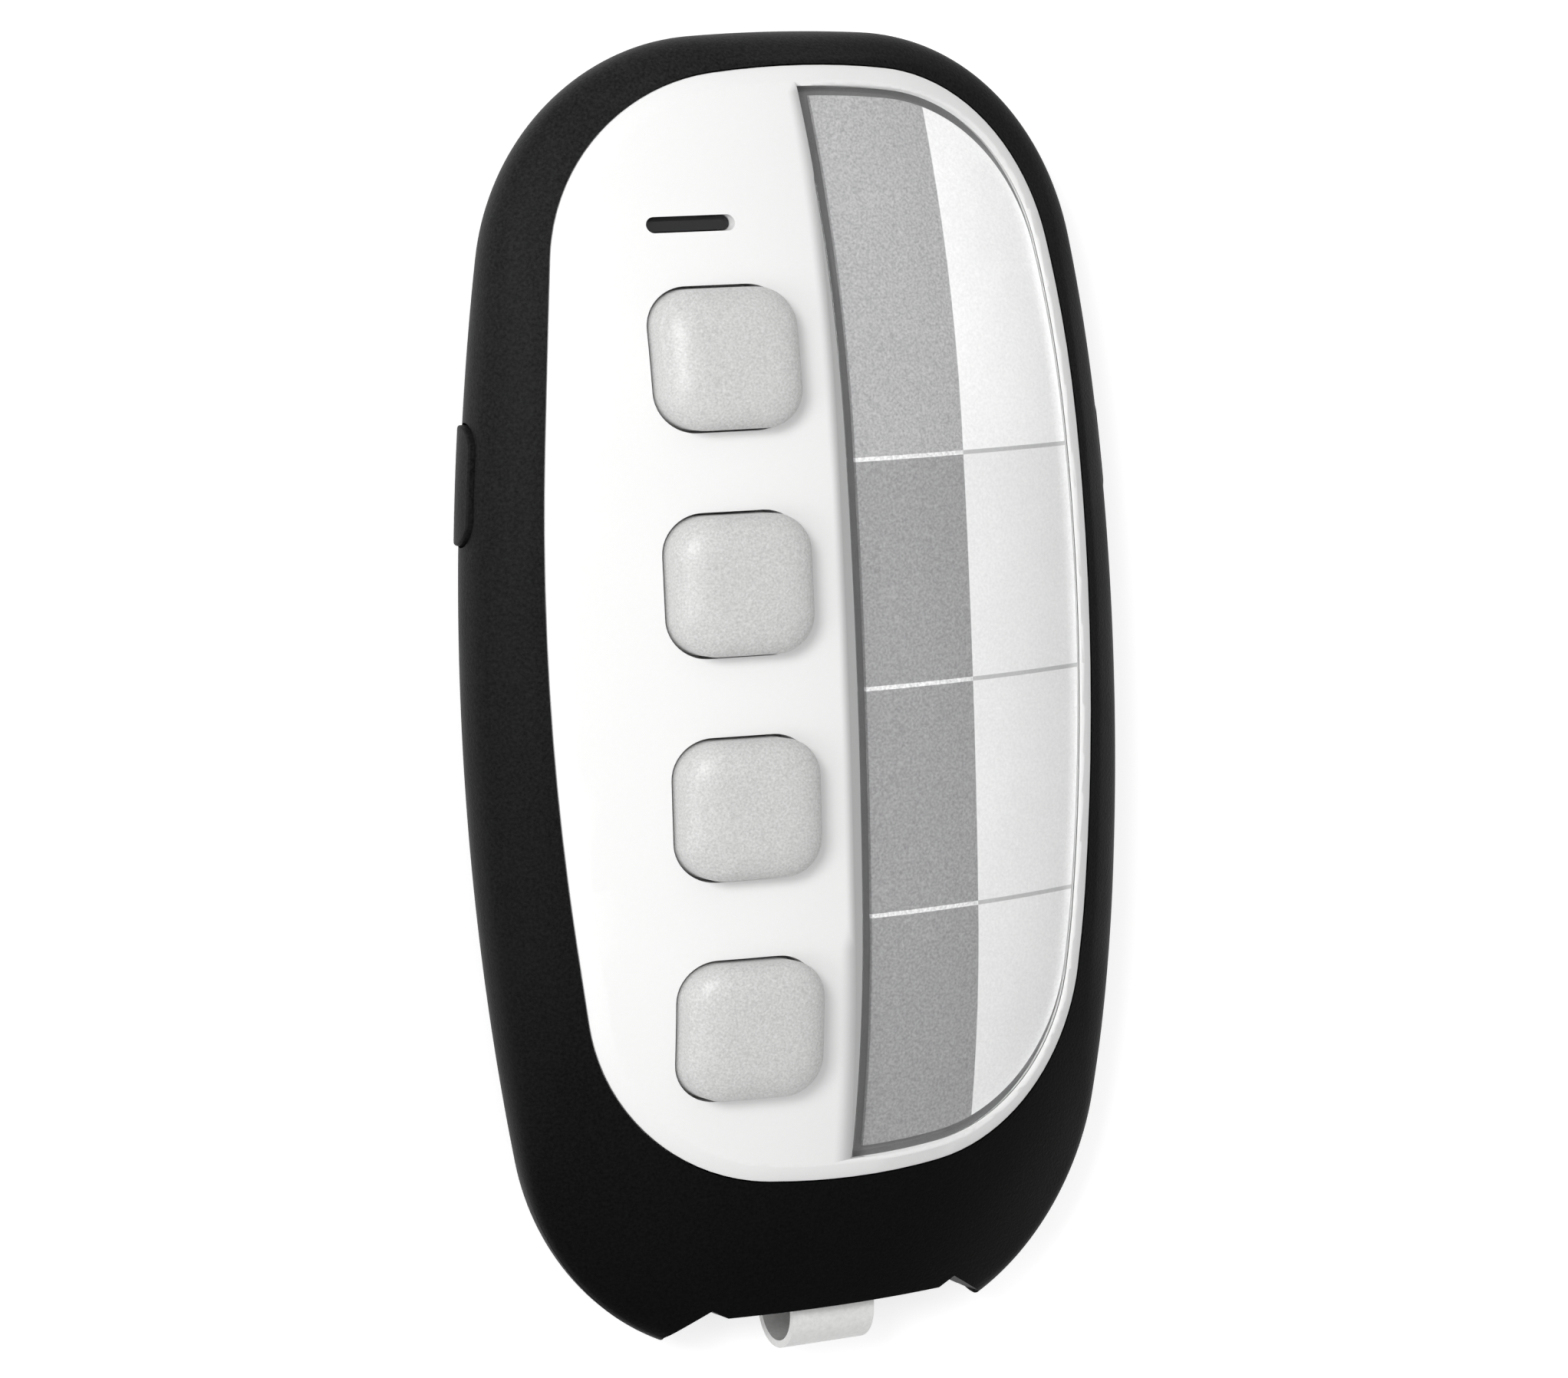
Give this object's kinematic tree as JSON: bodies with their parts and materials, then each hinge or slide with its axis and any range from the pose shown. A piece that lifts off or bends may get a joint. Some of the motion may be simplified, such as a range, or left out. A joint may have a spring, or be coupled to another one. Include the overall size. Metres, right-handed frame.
{
  "type": "alarm key fob",
  "caption": "Handheld alarm key fob: pillow-shaped white face in a black case, a column of square buttons, an indicator slot, a label window and a key-ring loop.",
  "frame": {"origin": "on the flat back of the rear cover, behind the centre of the white face", "axes": "+Z out of the front face, +Y along the length towards the indicator end, +X to the right seen from the front"},
  "size_m": [0.0485, 0.0884, 0.0181],
  "materials": {
    "black_case": "soft-touch matt, fine grain",
    "seal_silicone": "matt silicone",
    "white_plate": "satin white, fine grain",
    "tray_plastic": "dark grey moulded plastic",
    "printed_card": "printed card, grey band and pale band",
    "clear_window": "clear moulded plastic, polished",
    "dark_lens": "smoked light guide",
    "led_body": "moulded lamp package",
    "board_laminate": "glass-fibre laminate with solder mask",
    "screw_steel": "zinc-plated steel",
    "chip_body": "moulded epoxy",
    "shield_can": "tinned steel",
    "antenna_wire": "bare copper wire",
    "cell_can": "nickel-plated steel",
    "holder_plastic": "moulded plastic",
    "spring_contact": "nickel-plated spring strip",
    "loop_plastic": "pale grey, lightly textured",
    "grey_button": "fine-grained matt grey",
    "switch_body": "moulded plastic",
    "switch_plunger": "moulded plastic"
  },
  "bodies": {
    "case": {"case_body": "black_case", "cover_seal": "seal_silicone", "rear_cover": "black_case", "face_plate": "white_plate", "label_card": "printed_card", "label_tray": "tray_plastic", "switch_housing_1": "switch_body", "switch_housing_2": "switch_body", "switch_housing_3": "switch_body", "switch_housing_4": "switch_body", "indicator_lens": "dark_lens", "indicator_led": "led_body", "circuit_board": "board_laminate", "board_screws": "screw_steel", "microcontroller": "chip_body", "radio_module": "shield_can", "crystal": "shield_can", "antenna": "antenna_wire", "coin_cell": "cell_can", "cell_holder": "holder_plastic", "contact_minus": "spring_contact", "contact_plus": "spring_contact", "key_ring_loop": "loop_plastic"},
    "button_1": {"button_1": "grey_button", "switch_plunger_1": "switch_plunger"},
    "button_2": {"button_2": "grey_button", "switch_plunger_2": "switch_plunger"},
    "button_3": {"button_3": "grey_button", "switch_plunger_3": "switch_plunger"},
    "button_4": {"button_4": "grey_button", "switch_plunger_4": "switch_plunger"},
    "side_catch_right": {"side_catch_right": "black_case"},
    "side_catch_left": {"side_catch_left": "black_case"},
    "label_window": {"label_window": "clear_window"}
  },
  "joints": [
    {"name": "button_1_press", "type": "slide", "parent": "case", "child": "button_1", "axis": [0, 0, -1], "range_m": [0, 0.0005], "stiffness_N_per_m": 3000, "springref_m": -0.0002},
    {"name": "button_2_press", "type": "slide", "parent": "case", "child": "button_2", "axis": [0, 0, -1], "range_m": [0, 0.0005], "stiffness_N_per_m": 3000, "springref_m": -0.0002},
    {"name": "button_3_press", "type": "slide", "parent": "case", "child": "button_3", "axis": [0, 0, -1], "range_m": [0, 0.0005], "stiffness_N_per_m": 3000, "springref_m": -0.0002},
    {"name": "button_4_press", "type": "slide", "parent": "case", "child": "button_4", "axis": [0, 0, -1], "range_m": [0, 0.0005], "stiffness_N_per_m": 3000, "springref_m": -0.0002},
    {"name": "side_catch_right_squeeze", "type": "slide", "parent": "case", "child": "side_catch_right", "axis": [-1, 0, 0], "range_m": [0, 0.001], "stiffness_N_per_m": 4000, "springref_m": -0.0002},
    {"name": "side_catch_left_squeeze", "type": "slide", "parent": "case", "child": "side_catch_left", "axis": [1, 0, 0], "range_m": [0, 0.001], "stiffness_N_per_m": 4000, "springref_m": -0.0002},
    {"name": "label_window_lift", "type": "slide", "parent": "case", "child": "label_window", "axis": [0, 0, 1], "range_m": [0, 0.006]}
  ]
}
